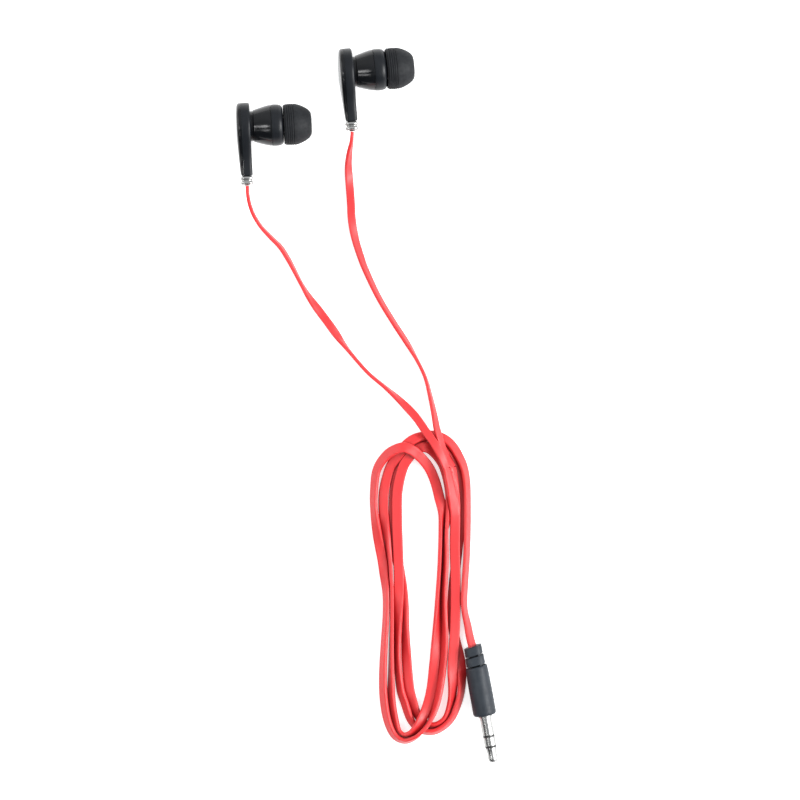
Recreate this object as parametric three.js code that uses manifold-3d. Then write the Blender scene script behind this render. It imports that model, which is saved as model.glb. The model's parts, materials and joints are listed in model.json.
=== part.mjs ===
// Wired earphones: two in-ear buds, a flat cord with two branches wound into a hank, and a 3.5 mm plug.
// Millimetres, +Z up, Z = 0 is the table. The origin is under the middle of the two buds.
// Each bud has its own frame: X along the barrel to the ear tip, Y up the paddle, Z up from the table.
// It rests on the round head of its paddle and on its ear tip, so the barrel leans down to the tip.
import * as THREE from "three";
import { mergeVertices } from "three/addons/utils/BufferGeometryUtils.js";
import Module from "manifold-3d";

const wasm = await Module();
wasm.setup();

// ---- driving dimensions ----
const LATHE_SIDES = 24;
const INNER_SIDES = 20;
const FIT_GAP = 0.1; // between rigid pieces that touch
const CORD_GAP = 0.3; // between a cord and what it meets

const BUDS = [
  { side: "left", x: -21.8, y: -2.85, turn: 3.0 },
  { side: "right", x: 8.05, y: 13.0, turn: 5.2 },
];

const PADDLE_RADIUS = 6.85; // the paddle's head, round about the barrel axis
const WAIST_ANGLE = -0.35; // where the round head turns into the stem, in radians
const HEAD_STEPS = 14;
const STEM_END = -14.5;
const STEM_HALF_WIDTH = 1.9;
const SHELL_DEPTH = 2.6;
const SHELL_WALL = 1.0;
const COVER_DEPTH = 0.55; // plus the same again in its bevel
const COVER_BEVEL = 0.7;
const COLLAR_LENGTH = 2.45;
const COLLAR_HALF_WIDTH = 1.85;
const GROOVE_HALF_WIDTH = 1.6;
const CORD_DEPTH = -1.8; // the cord's centre behind the paddle's inner face

const BARREL_RADIUS = 6.0;
const SEAM = 6.0; // where the rear cup meets the front housing
const NOZZLE_RADIUS = 2.3;
const NOZZLE_BORE = 1.6;
const NOZZLE_END = 14.6;
const TIP_RADIUS = 6.02;
const TIP_WIDEST = 11.9; // where the tip rests on the table
const TIP_START = 9.75;
const TIP_END = 17.75;

const LEAN = Math.atan((PADDLE_RADIUS - TIP_RADIUS) / TIP_WIDEST);
const AXIS_HEIGHT = PADDLE_RADIUS * Math.cos(LEAN); // at the paddle's inner face

const DRIVER_RADIUS = 4.95;
const VENT_RADIUS = 0.6;
const MAGNET_RADIUS = 2.45;
const SOUND_HOLES = 6;
const SOUND_HOLE_RADIUS = 0.55;
const SOUND_HOLE_CIRCLE = 2.9;

const PLUG_RADIUS = 1.75; // 3.5 mm plug
const PLUG_AXIS_HEIGHT = 3.4;
const PLUG_START = { x: 42.9, y: -154.2, turn: -79.7 };
const RELIEF_END = 5.9;
const BODY_START = 6.0;
const BODY_END = 20.65;
const FLANGE_RADIUS = 2.05; // its front is the shoulder that meets the socket
const FLANGE_START = 20.75;
const FLANGE_END = 21.15;
const PLUG_END = 34.65;

const COIL_HEIGHT = 3.4;
const CORD_RADIUS = 0.85; // a round stand-in for the flat cord
const RIBBON_THICKNESS = 1.1;
const JOINT_TOP = { x: 36.2, y: -102.3 };
const JOINT_BOTTOM = { x: 37.6, y: -115.8 };
const JOINT_TOP_WIDTH = 4.8;
const JOINT_BOTTOM_WIDTH = 3.0;

const BLACK_GLOSS = { color: 0x1d2024, roughness: 0.22, metalness: 0 };
const BLACK_SATIN = { color: 0x25282d, roughness: 0.45, metalness: 0 };
const RUBBER = { color: 0x2c2f34, roughness: 0.8, metalness: 0 };
const NICKEL = { color: 0xd9d9d6, roughness: 0.2, metalness: 1 };
const STEEL = { color: 0x9a9c9e, roughness: 0.4, metalness: 1 };
const COPPER = { color: 0xb87333, roughness: 0.35, metalness: 1 };
const BOARD = { color: 0x2f6b3c, roughness: 0.6, metalness: 0 };
const FELT = { color: 0x54524e, roughness: 0.95, metalness: 0 };
const FILM = { color: 0xc9b98f, roughness: 0.4, metalness: 0 };
const INSULATION = { color: 0x111111, roughness: 0.5, metalness: 0 };
const RED_CORD = { color: 0xf05050, roughness: 0.5, metalness: 0 };

const model = new THREE.Group();

// ---- helpers ----
function addPart(parent, name, geometry, finish) {
  const mesh = new THREE.Mesh(geometry, new THREE.MeshStandardMaterial(finish));
  mesh.name = name;
  parent.add(mesh);
}

function solidOf(geometry) {
  const bare = geometry.clone();
  bare.deleteAttribute("normal");
  bare.deleteAttribute("uv");
  const merged = mergeVertices(bare, 1e-4);
  return new wasm.Manifold(
    new wasm.Mesh({
      numProp: 3,
      vertProperties: merged.attributes.position.array,
      triVerts: new Uint32Array(merged.index.array),
    }),
  );
}

function geometryOf(solid) {
  const mesh = solid.getMesh();
  const geometry = new THREE.BufferGeometry();
  geometry.setAttribute("position", new THREE.BufferAttribute(mesh.vertProperties, 3));
  geometry.setIndex(new THREE.BufferAttribute(mesh.triVerts, 1));
  return geometry;
}

function cut(geometry, ...tools) {
  return geometryOf(tools.reduce((left, tool) => left.subtract(solidOf(tool)), solidOf(geometry)));
}

function join(geometry, ...others) {
  return geometryOf(others.reduce((sum, other) => sum.add(solidOf(other)), solidOf(geometry)));
}

// A profile of [radius, distance along X], turned about the X axis.
// A profile that stays off the axis is the section of a ring.
function turned(profile, sides = LATHE_SIDES) {
  const points = profile.map(([radius, along]) => new THREE.Vector2(radius, along));
  if (THREE.ShapeUtils.area(points) < 0) points.reverse();
  const onAxis = points.filter((point) => point.x === 0).length > 0;
  if (onAxis) {
    while (points[0].x !== 0 || points[points.length - 1].x !== 0) points.push(points.shift());
  } else {
    points.push(points[0].clone());
  }
  return new THREE.LatheGeometry(points, sides).rotateZ(-Math.PI / 2);
}

function ring(inner, outer, start, end, sides = INNER_SIDES) {
  const profile = [[inner, start], [outer, start], [outer, end], [inner, end]];
  return turned(profile, sides);
}

// A box between two opposite corners.
function box([x0, y0, z0], [x1, y1, z1]) {
  const geometry = new THREE.BoxGeometry(x1 - x0, y1 - y0, z1 - z0);
  return geometry.translate((x0 + x1) / 2, (y0 + y1) / 2, (z0 + z1) / 2);
}

// A shape drawn in the bud's Z and Y, extruded along the barrel between two distances.
function plate(shape, start, end, bevel = {}) {
  const options = { depth: end - start, bevelEnabled: false, curveSegments: 4, ...bevel };
  return new THREE.ExtrudeGeometry(shape, options).rotateY(Math.PI / 2).translate(start, 0, 0);
}

// A tube along a smooth curve through the given points.
function tube(points, radius, sides, steps) {
  const section = new THREE.Shape();
  section.absarc(0, 0, radius, 0, 2 * Math.PI);
  const path = new THREE.CatmullRomCurve3(points.map((point) => new THREE.Vector3(...point)));
  const options = { extrudePath: path, steps, curveSegments: sides / 2, bevelEnabled: false };
  return new THREE.ExtrudeGeometry(section, options);
}

// ---- earbud ----
// The paddle's outline: a round head that narrows in a long curve to the stem.
function paddleOutline(inset) {
  const radius = PADDLE_RADIUS - inset;
  const half = STEM_HALF_WIDTH - inset;
  const bottom = STEM_END + inset;
  const onHead = (angle) =>
    new THREE.Vector2(radius * Math.cos(angle), radius * Math.sin(angle));
  const waist = onHead(WAIST_ANGLE);
  const shape = new THREE.Shape();
  shape.moveTo(half, bottom);
  shape.bezierCurveTo(half + 0.2, bottom + 5.5, waist.x - 1.0, waist.y - 3.2, waist.x, waist.y);
  for (let i = 1; i <= HEAD_STEPS; i += 1) {
    const point = onHead(WAIST_ANGLE + (i * (Math.PI - 2 * WAIST_ANGLE)) / HEAD_STEPS);
    shape.lineTo(point.x, point.y);
  }
  shape.bezierCurveTo(-waist.x + 1.0, waist.y - 3.2, -half - 0.2, bottom + 5.5, -half, bottom);
  shape.closePath();
  return shape;
}

function rearShell() {
  const pocket = plate(paddleOutline(SHELL_WALL), -SHELL_DEPTH - 1, -SHELL_WALL);
  const slot = box([-SHELL_DEPTH - 1, STEM_END - 1, -0.9], [-SHELL_WALL, STEM_END + 2, 0.9]);
  const wireHole = ring(0, 3.2, -SHELL_WALL - 1, 1, LATHE_SIDES);
  return cut(plate(paddleOutline(0), -SHELL_DEPTH, 0), pocket, slot, wireHole);
}

function outerCover() {
  const bevel = {
    bevelEnabled: true,
    bevelThickness: COVER_DEPTH,
    bevelSize: COVER_BEVEL,
    bevelOffset: -COVER_BEVEL,
    bevelSegments: 2,
  };
  const domed = plate(paddleOutline(0), 0, COVER_DEPTH, bevel);
  const inner = box([COVER_DEPTH, -30, -30], [3, 30, 30]);
  return cut(domed, inner).translate(-SHELL_DEPTH - FIT_GAP - COVER_DEPTH, 0, 0);
}

// A short rounded-square tube with a groove round it, which the cord leaves through.
function collar() {
  const slab = (half, top, length) => {
    const shape = new THREE.Shape();
    shape.absellipse(0, 0, half, half + 0.1, 0, 2 * Math.PI);
    const options = { depth: length, bevelEnabled: false, curveSegments: 8 };
    return new THREE.ExtrudeGeometry(shape, options).rotateX(Math.PI / 2).translate(CORD_DEPTH, top, 0);
  };
  const top = STEM_END - FIT_GAP;
  const rings = join(
    slab(COLLAR_HALF_WIDTH, top, 1.0),
    slab(GROOVE_HALF_WIDTH, top - 0.9, 0.6),
    slab(COLLAR_HALF_WIDTH, top - 1.4, COLLAR_LENGTH - 1.4),
  );
  const opening = box([CORD_DEPTH - 0.75, top - 5, -1.35], [CORD_DEPTH + 0.75, top + 1, 1.35]);
  return cut(rings, opening);
}

function cordAnchor() {
  const knob = box([CORD_DEPTH - 0.6, -10, -0.75], [CORD_DEPTH + 0.6, -8, 0.75]);
  const tail = box([CORD_DEPTH - 0.4, STEM_END - 2.2, -0.5], [CORD_DEPTH + 0.4, -9, 0.5]);
  return join(knob, tail);
}

function rearCup() {
  return turned([
    [4.15, 0.3], [4.2, 0.9], [4.55, 1.0], [4.95, 2.2], [5.35, 3.5], [5.7, 4.8], [5.95, SEAM],
    [5.1, SEAM], [5.1, 5.2], [4.5, 3.6], [4.1, 2.2], [3.7, 1.1], [3.4, 0.3],
  ]);
}

function frontHousing() {
  return turned([
    [5.1, SEAM + FIT_GAP], [5.97, SEAM + FIT_GAP], [BARREL_RADIUS, 7.4], [5.95, 8.2], [5.75, 8.8],
    [5.4, 9.25], [4.95, 9.5], [NOZZLE_RADIUS, 9.55], [NOZZLE_RADIUS, NOZZLE_END - 0.3],
    [NOZZLE_RADIUS - 0.25, NOZZLE_END], [NOZZLE_BORE, NOZZLE_END], [NOZZLE_BORE, 8.65], [5.1, 8.65],
  ]);
}

function earTip() {
  return turned([
    [2.45, 9.9], [3.1, 9.9], [3.15, 14.6], [4.2, 15.2], [4.9, 13.8], [5.35, 12.0], [5.3, TIP_START],
    [5.7, TIP_START], [5.95, 10.3], [TIP_RADIUS, TIP_WIDEST], [5.9, 13.2], [5.5, 14.6], [4.8, 16.0],
    [4.1, 17.0], [3.55, 17.5], [3.1, TIP_END], [1.9, TIP_END], [1.75, 15.0], [2.45, 14.8],
  ]);
}

function diaphragm() {
  return turned([
    [0, 7.5], [1.3, 7.35], [2.2, 6.95], [2.7, 6.95], [3.6, 7.25], [4.4, 6.95], [4.75, 6.95],
    [4.75, 6.8], [4.4, 6.8], [3.6, 7.1], [2.75, 6.8], [2.2, 6.8], [1.25, 7.2], [0, 7.35],
  ], INNER_SIDES);
}

function frontPlate() {
  const holes = [];
  for (let i = 0; i < SOUND_HOLES; i += 1) {
    const angle = (i * 2 * Math.PI) / SOUND_HOLES;
    const y = SOUND_HOLE_CIRCLE * Math.sin(angle);
    const z = SOUND_HOLE_CIRCLE * Math.cos(angle);
    holes.push(ring(0, SOUND_HOLE_RADIUS, 7, 9, 8).translate(0, y, z));
  }
  return cut(ring(0, DRIVER_RADIUS, 8.05, 8.35), ...holes);
}

function basket() {
  return turned([
    [3.55, 4.9], [3.85, 4.9], [3.85, 5.3], [DRIVER_RADIUS, 5.3], [DRIVER_RADIUS, 6.35], [4.55, 6.35],
    [4.55, 5.7], [3.55, 5.7],
  ], INNER_SIDES);
}

function yoke() {
  return turned([
    [VENT_RADIUS, 3.9], [3.4, 3.9], [3.4, 6.1], [3.05, 6.1], [3.05, 4.4], [VENT_RADIUS, 4.4],
  ], INNER_SIDES);
}

function addBud({ side, x, y, turn }) {
  const bud = new THREE.Group();
  bud.position.set(x, y, AXIS_HEIGHT);
  bud.rotation.set(0, LEAN, THREE.MathUtils.degToRad(turn), "ZYX");
  model.add(bud);
  const add = (name, geometry, finish) => addPart(bud, `${side}_${name}`, geometry, finish);

  add("outer_cover", outerCover(), BLACK_GLOSS);
  add("rear_shell", rearShell(), BLACK_SATIN);
  add("collar", collar(), NICKEL);
  add("cord_anchor", cordAnchor(), INSULATION);
  add("rear_cup", rearCup(), BLACK_GLOSS);
  add("front_housing", frontHousing(), BLACK_SATIN);
  add("ear_tip", earTip(), RUBBER);

  add("nozzle_mesh", ring(0, NOZZLE_BORE - FIT_GAP, 14.1, 14.35, 16), STEEL);
  add("driver_front_plate", frontPlate(), STEEL);
  add("diaphragm", diaphragm(), FILM);
  add("voice_coil", ring(2.6, 2.85, 5.0, 6.7), COPPER);
  add("top_plate", ring(VENT_RADIUS, MAGNET_RADIUS, 5.5, 6.0), STEEL);
  add("magnet", ring(VENT_RADIUS, MAGNET_RADIUS, 4.5, 5.4), STEEL);
  add("yoke", yoke(), STEEL);
  add("basket", basket(), BLACK_SATIN);
  add("rear_felt", ring(0, 1.6, 3.3, 3.7, 16), FELT);
  add("terminal_board", box([4.85, -4.65, -0.8], [5.15, -3.95, 0.8]), BOARD);
  const leadRoute = [
    [4.6, -4.25, 0], [3.4, -3.6, 0], [2.0, -3.0, 0], [0.5, -2.7, 0], [-0.9, -2.9, 0], [-1.7, -4.6, 0],
    [CORD_DEPTH, -7.7, 0],
  ];
  add("inner_lead", tube(leadRoute, 0.25, 8, 14), COPPER);
}

// ---- plug ----
function plugBody() {
  return turned([
    [1.3, BODY_START], [2.9, BODY_START], [3.1, 6.3], [3.35, 19.9], [3.2, 20.4], [2.9, BODY_END],
    [1.9, BODY_END], [1.9, 12], [1.3, 12],
  ]);
}

function strainRelief() {
  const core = 1.7;
  return turned([
    [1.0, 0], [2.65, 0], [2.7, 2.6], [core, 2.6], [core, 3.05], [2.8, 3.05], [2.85, 5.6], [core, 5.6],
    [core, RELIEF_END], [1.0, RELIEF_END],
  ]);
}

function addPlug() {
  const plug = new THREE.Group();
  plug.position.set(PLUG_START.x, PLUG_START.y, PLUG_AXIS_HEIGHT);
  plug.rotation.z = THREE.MathUtils.degToRad(PLUG_START.turn);
  model.add(plug);
  const add = (name, geometry, finish) => addPart(plug, `plug_${name}`, geometry, finish);

  add("strain_relief", strainRelief(), BLACK_SATIN);
  add("body", plugBody(), BLACK_SATIN);
  const sleeve = [
    [1.3, 18], [PLUG_RADIUS, 18], [PLUG_RADIUS, FLANGE_START], [FLANGE_RADIUS, FLANGE_START],
    [FLANGE_RADIUS, FLANGE_END], [PLUG_RADIUS, FLANGE_END], [PLUG_RADIUS, 26.5], [1.3, 26.5],
  ];
  add("sleeve", turned(sleeve), NICKEL);
  const rearInsulator = [
    [1.05, 17], [1.25, 17], [1.25, 26.55], [PLUG_RADIUS - 0.05, 26.55], [PLUG_RADIUS - 0.05, 27.05],
    [1.05, 27.05],
  ];
  add("rear_insulator", turned(rearInsulator), INSULATION);
  const contactRing = [
    [0.8, 16], [1.0, 16], [1.0, 27.1], [PLUG_RADIUS, 27.1], [PLUG_RADIUS, 29.6], [0.8, 29.6],
  ];
  add("ring", turned(contactRing), NICKEL);
  const frontInsulator = [
    [0.5, 15], [0.75, 15], [0.75, 29.65], [PLUG_RADIUS - 0.1, 29.65], [PLUG_RADIUS - 0.1, 30.15],
    [0.5, 30.15],
  ];
  add("front_insulator", turned(frontInsulator), INSULATION);
  const tip = [
    [0, 14], [0.45, 14], [0.45, 30.2], [1.6, 30.2], [1.5, 31.2], [1.45, 33.6], [1.15, 34.4],
    [0.6, PLUG_END], [0, PLUG_END],
  ];
  add("tip", turned(tip), NICKEL);
}

// ---- cord ----
// The branches leave the collars, come down to the table and climb onto the hank.
const LEFT_BRANCH = [
  [-22.65, -20.3, 6.95], [-22.5, -23.0, 6.8], [-22.0, -25.8, 5.7], [-20.9, -28.7, 3.8], [-19.0, -31.7, 2.1],
  [-16.3, -34.6, 1.2], [-13.4, -37.5, 1.0], [-11.3, -40.7, 1.0], [-9.6, -43.8, 1.0], [-7.1, -48.6, 1.0],
  [-4.4, -53.0, 1.0], [0.5, -59.6, 1.0], [5.9, -67.0, 1.0], [12.1, -74.2, 1.0], [17.5, -78.8, 1.0],
  [22.0, -82.8, 1.4], [26.0, -87.0, 3.4], [28.9, -91.0, 5.1], [31.3, -94.4, 5.9], [33.4, -98.0, 5.8],
  [34.9, -101.8, 5.2],
];
const RIGHT_BRANCH = [
  [7.85, -4.55, 6.95], [7.65, -7.2, 6.7], [7.0, -10.2, 5.2], [6.6, -14.0, 2.8], [6.9, -19.0, 1.2],
  [7.3, -24.2, 1.0], [7.6, -29.6, 1.0], [8.5, -34.8, 1.0], [10.0, -39.8, 1.0], [11.7, -44.4, 1.0],
  [15.4, -52.2, 1.0], [19.7, -59.4, 1.0], [23.8, -65.7, 1.0], [26.9, -71.1, 1.0], [29.2, -76.0, 1.0],
  [30.6, -81.3, 1.4], [31.7, -86.4, 3.2], [32.6, -91.2, 4.5], [33.9, -95.6, 4.6], [35.4, -99.2, 4.6],
  [37.0, -101.7, 4.6],
];
const LAST_LEG = [
  [41.4, -145.8, 1.2], [41.7, -148.0, 1.7], [42.2, -150.8, 2.6], [42.75, -153.8, 3.3],
];
const BRANCH_STEPS = 40;

// The hank's outer edge and the gaps between its strands, as [x, y].
const HANK_EDGE = [
  [22.6, -95.1], [19.1, -96.0], [16.7, -98.0], [14.7, -101.4], [13.3, -106.4], [12.9, -111.4], [13.4, -117.4],
  [14.4, -125.4], [15.8, -131.9], [16.8, -137.9], [16.9, -143.4], [16.2, -150.4], [15.7, -159.4],
  [15.7, -167.4], [16.8, -175.4], [19.4, -180.4], [22.9, -182.6], [26.0, -182.2], [28.4, -180.7],
  [32.8, -179.9], [36.4, -177.6], [39.0, -173.0], [40.0, -167.4], [39.7, -159.4], [38.8, -154.9],
  [38.8, -150.4], [39.4, -147.0], [40.7, -145.0], [41.7, -143.0], [41.7, -138.4], [42.2, -126.4],
  [42.5, -115.4], [42.2, -106.9], [41.0, -100.9], [38.4, -96.0], [34.3, -92.6], [28.8, -91.9], [25.2, -93.2],
];
const MAIN_GAP = [
  [25.8, -100.0], [23.7, -103.8], [22.5, -109.4], [22.5, -117.4], [23.3, -129.4], [24.1, -140.4],
  [24.5, -151.4], [25.4, -162.4], [27.9, -172.4], [30.3, -161.4], [31.5, -149.4], [32.5, -135.4],
  [33.1, -121.4], [32.7, -113.4], [30.8, -106.9],
];
const LEFT_LOBE_GAP = [[20.4, -168.4], [21.6, -172.4], [25.0, -178.7], [22.9, -179.6], [21.0, -177.8]];
const RIGHT_LOBE_GAP = [
  [35.8, -159.9], [36.2, -167.4], [34.8, -174.8], [32.6, -176.7], [31.4, -175.8], [33.2, -169.9],
];

function smoothOutline(points, samples) {
  const curve = new THREE.CatmullRomCurve3(points.map(([x, y]) => new THREE.Vector3(x, y, 0)), true);
  return curve.getSpacedPoints(samples).slice(0, samples).map(({ x, y }) => new THREE.Vector2(x, y));
}

function hank() {
  const outline = new THREE.Shape(smoothOutline(HANK_EDGE, 72));
  outline.holes = [
    new THREE.Path(smoothOutline(MAIN_GAP, 30)),
    new THREE.Path(smoothOutline(LEFT_LOBE_GAP, 10)),
    new THREE.Path(smoothOutline(RIGHT_LOBE_GAP, 12)),
  ];
  return new THREE.ExtrudeGeometry(outline, { depth: COIL_HEIGHT, bevelEnabled: false });
}

// A flat wedge that lies on the hank: two branches wide at the top, one cord wide at the bottom.
function yJoint() {
  const across = new THREE.Vector2(JOINT_BOTTOM.y - JOINT_TOP.y, JOINT_TOP.x - JOINT_BOTTOM.x).normalize();
  const corner = (end, width) => new THREE.Vector2(end.x, end.y).addScaledVector(across, width / 2);
  const shape = new THREE.Shape([
    corner(JOINT_TOP, JOINT_TOP_WIDTH),
    corner(JOINT_BOTTOM, JOINT_BOTTOM_WIDTH),
    corner(JOINT_BOTTOM, -JOINT_BOTTOM_WIDTH),
    corner(JOINT_TOP, -JOINT_TOP_WIDTH),
  ]);
  const geometry = new THREE.ExtrudeGeometry(shape, { depth: RIBBON_THICKNESS, bevelEnabled: false });
  return geometry.translate(0, 0, COIL_HEIGHT + CORD_GAP);
}

function addCord() {
  addPart(model, "left_branch_cord", tube(LEFT_BRANCH, CORD_RADIUS, 8, BRANCH_STEPS), RED_CORD);
  addPart(model, "right_branch_cord", tube(RIGHT_BRANCH, CORD_RADIUS, 8, BRANCH_STEPS), RED_CORD);
  addPart(model, "y_joint", yJoint(), RED_CORD);
  addPart(model, "cord_hank", hank(), RED_CORD);
  addPart(model, "last_leg_cord", tube(LAST_LEG, CORD_RADIUS, 8, 6), RED_CORD);
}

BUDS.forEach(addBud);
addPlug();
addCord();

export default model;
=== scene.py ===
import json
import math

import bpy
import numpy as np
from mathutils import Matrix, Vector


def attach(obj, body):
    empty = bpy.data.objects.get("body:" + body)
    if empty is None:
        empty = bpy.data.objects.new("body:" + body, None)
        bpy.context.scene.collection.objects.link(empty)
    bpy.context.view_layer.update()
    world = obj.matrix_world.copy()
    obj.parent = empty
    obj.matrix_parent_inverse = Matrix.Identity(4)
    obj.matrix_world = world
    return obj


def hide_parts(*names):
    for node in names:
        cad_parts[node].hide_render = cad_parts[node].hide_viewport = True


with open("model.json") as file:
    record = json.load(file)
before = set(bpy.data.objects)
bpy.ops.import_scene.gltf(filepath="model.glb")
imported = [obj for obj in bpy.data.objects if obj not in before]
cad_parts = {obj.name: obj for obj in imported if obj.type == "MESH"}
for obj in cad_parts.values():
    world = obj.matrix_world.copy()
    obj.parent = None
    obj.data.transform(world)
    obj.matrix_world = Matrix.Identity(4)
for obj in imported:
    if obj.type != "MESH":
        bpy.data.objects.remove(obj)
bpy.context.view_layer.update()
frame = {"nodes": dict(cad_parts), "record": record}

# Wired earphones: two in-ear buds, a flat two-branch cord wound into a hank, and a 3.5 mm plug.
# Shapes are worked out in millimetres and written to the meshes in metres, in the frame of the CAD.
MM = 0.001

# ---- sizes, as in the CAD ----
PADDLE_RADIUS = 6.85
TIP_RADIUS = 6.02
TIP_WIDEST = 11.9
LEAN = math.atan((PADDLE_RADIUS - TIP_RADIUS) / TIP_WIDEST)
AXIS_HEIGHT = PADDLE_RADIUS * math.cos(LEAN)
BUDS = {"left": (-21.8, -2.85, 3.0), "right": (8.05, 13.0, 5.2)}
STEM_END = -14.5
STEM_HALF_WIDTH = 1.9
SHELL_DEPTH = 2.6
SEAM = 6.0
WAIST_ANGLE = -0.35
CORD_DEPTH = -1.8
PLUG_START = (42.9, -154.2, 3.4)
PLUG_TURN = -79.7

# ---- camera, straight above the middle of the view ----
VIEW_CENTRE = (21.73, -82.44)
CAMERA_HEIGHT = 652.8


def make_camera():
    data = bpy.data.cameras.new("camera")
    data.lens = 100
    data.sensor_width = 36
    data.clip_start = 0.01
    camera = bpy.data.objects.new("camera", data)
    camera.location = (VIEW_CENTRE[0] * MM, VIEW_CENTRE[1] * MM, CAMERA_HEIGHT * MM)
    bpy.context.scene.collection.objects.link(camera)
    bpy.context.scene.camera = camera


make_camera()


# ---- materials ----
CREASE_SHADE_REACH = 2.0  # how far apart, in millimetres, two faces of the cord still darken each other's red with painted crease shade


class Nodes:
    """A new material's nodes, with short ways to add and link them."""

    def __init__(self, name):
        self.material = bpy.data.materials.new(name)
        self.material.use_nodes = True
        self.tree = self.material.node_tree
        self.shader = self.tree.nodes["Principled BSDF"]
        self.position = self.add("ShaderNodeTexCoord").outputs["Object"]

    def add(self, kind, **values):
        node = self.tree.nodes.new(kind)
        for key, value in values.items():
            setattr(node, key, value)
        return node

    def link(self, source, target):
        self.tree.links.new(source, target)

    def set(self, **values):
        for key, value in values.items():
            self.shader.inputs[key.replace("_", " ")].default_value = value

    def mapped(self, scale, turn=(0, 0, 0), source=None):
        node = self.add("ShaderNodeMapping")
        node.inputs["Rotation"].default_value = turn
        node.inputs["Scale"].default_value = scale
        self.link(source or self.position, node.inputs["Vector"])
        return node.outputs["Vector"]

    def noise(self, scale, detail=3.0, vector=None):
        node = self.add("ShaderNodeTexNoise")
        node.inputs["Scale"].default_value = scale
        node.inputs["Detail"].default_value = detail
        self.link(vector or self.position, node.inputs["Vector"])
        return node.outputs["Fac"]

    def ramp(self, factor, low, high, start=0.3, end=0.7):
        node = self.add("ShaderNodeValToRGB")
        node.color_ramp.elements[0].position = start
        node.color_ramp.elements[0].color = (*low, 1)
        node.color_ramp.elements[1].position = end
        node.color_ramp.elements[1].color = (*high, 1)
        self.link(factor, node.inputs["Fac"])
        return node.outputs["Color"]

    def range(self, factor, low, high, start=0.3, end=0.7):
        node = self.add("ShaderNodeMapRange")
        for name, value in (("From Min", start), ("From Max", end), ("To Min", low), ("To Max", high)):
            node.inputs[name].default_value = value
        self.link(factor, node.inputs["Value"])
        return node.outputs["Result"]

    def bump(self, *heights):
        """Each height is (factor, strength, distance in millimetres)."""
        last = None
        for factor, strength, distance in heights:
            node = self.add("ShaderNodeBump")
            node.inputs["Strength"].default_value = strength
            node.inputs["Distance"].default_value = distance * MM
            self.link(factor, node.inputs["Height"])
            if last is not None:
                self.link(last, node.inputs["Normal"])
            last = node.outputs["Normal"]
        self.link(last, self.shader.inputs["Normal"])


def cord_material():
    """Soft red plastic with the extruder's faint lengthwise marks, and painted shade that darkens its red in
    the creases.
    """
    n = Nodes("cord")
    uv = n.add("ShaderNodeUVMap", uv_map="cord").outputs["UV"]
    streaks = n.noise(1.0, 2.0, n.mapped((26.0, 0.6, 1.0), source=uv))
    blotches = n.noise(160.0, 3.0)
    # Painted shade: an ambient occlusion node darkens the red where other faces of the cord lie near, in the
    # creases. The blotches add random tone on top.
    tone_and_crease_shade = n.add("ShaderNodeAmbientOcclusion")
    tone_and_crease_shade.inputs["Distance"].default_value = CREASE_SHADE_REACH * MM
    n.link(n.ramp(blotches, (0.90, 0.90, 0.90), (1.0, 1.0, 1.0)), tone_and_crease_shade.inputs["Color"])
    n.link(
        n.ramp(tone_and_crease_shade.outputs["Color"], (0.35, 0.005, 0.007), (0.59, 0.025, 0.027), 0.1, 0.95),
        n.shader.inputs["Base Color"],
    )
    n.link(n.range(streaks, 0.36, 0.50), n.shader.inputs["Roughness"])
    n.set(Specular_IOR_Level=0.40, Sheen_Weight=0.06, Sheen_Roughness=0.4)
    n.bump((streaks, 0.25, 0.03), (n.noise(4200.0, 2.0), 0.10, 0.02))
    return n.material


def gloss_material():
    """Polished black plastic."""
    n = Nodes("gloss_plastic")
    n.link(
        n.ramp(n.noise(220.0, 2.0), (0.0022, 0.0026, 0.0034), (0.0034, 0.0039, 0.0050)),
        n.shader.inputs["Base Color"],
    )
    n.link(n.range(n.noise(900.0, 4.0), 0.13, 0.22), n.shader.inputs["Roughness"])
    n.set(Specular_IOR_Level=0.31)
    n.bump((n.noise(420.0, 2.0), 0.015, 0.05))
    return n.material


def satin_material():
    """Moulded black plastic with a fine, even grain."""
    n = Nodes("satin_plastic")
    n.link(
        n.ramp(n.noise(300.0, 3.0), (0.0058, 0.0070, 0.0090), (0.0082, 0.0096, 0.0118)),
        n.shader.inputs["Base Color"],
    )
    n.link(n.range(n.noise(1500.0, 3.0), 0.28, 0.37), n.shader.inputs["Roughness"])
    n.set(Specular_IOR_Level=0.20)
    n.bump((n.noise(5200.0, 2.0), 0.10, 0.02))
    return n.material


def rubber_material():
    """Matt silicone rubber with a little dust on it."""
    n = Nodes("ear_rubber")
    n.link(
        n.ramp(n.noise(700.0, 5.0), (0.0060, 0.0070, 0.0085), (0.0105, 0.0118, 0.0138), 0.35, 0.75),
        n.shader.inputs["Base Color"],
    )
    n.link(n.range(n.noise(1200.0, 3.0), 0.55, 0.72), n.shader.inputs["Roughness"])
    n.set(Specular_IOR_Level=0.22)
    n.bump((n.noise(2600.0, 3.0), 0.18, 0.02))
    return n.material


def moulding_material():
    """Slate grey moulded plastic of the plug."""
    n = Nodes("plug_moulding")
    n.link(
        n.ramp(n.noise(350.0, 4.0), (0.014, 0.018, 0.024), (0.020, 0.025, 0.032)),
        n.shader.inputs["Base Color"],
    )
    n.link(n.range(n.noise(1100.0, 3.0), 0.42, 0.56), n.shader.inputs["Roughness"])
    n.set(Specular_IOR_Level=0.24)
    n.bump((n.noise(3800.0, 2.0), 0.15, 0.02))
    return n.material


def metal_material(name, low, high, smooth, rough, turn=(0, 0, 0)):
    """Turned or drawn metal, with fine marks across its length."""
    n = Nodes(name)
    marks = n.noise(1.0, 3.0, n.mapped((9000.0, 500.0, 500.0), turn))
    n.link(n.ramp(n.noise(500.0, 2.0), low, high), n.shader.inputs["Base Color"])
    n.link(n.range(marks, smooth, rough), n.shader.inputs["Roughness"])
    n.set(Metallic=1.0)
    n.bump((marks, 0.10, 0.01))
    return n.material


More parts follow.
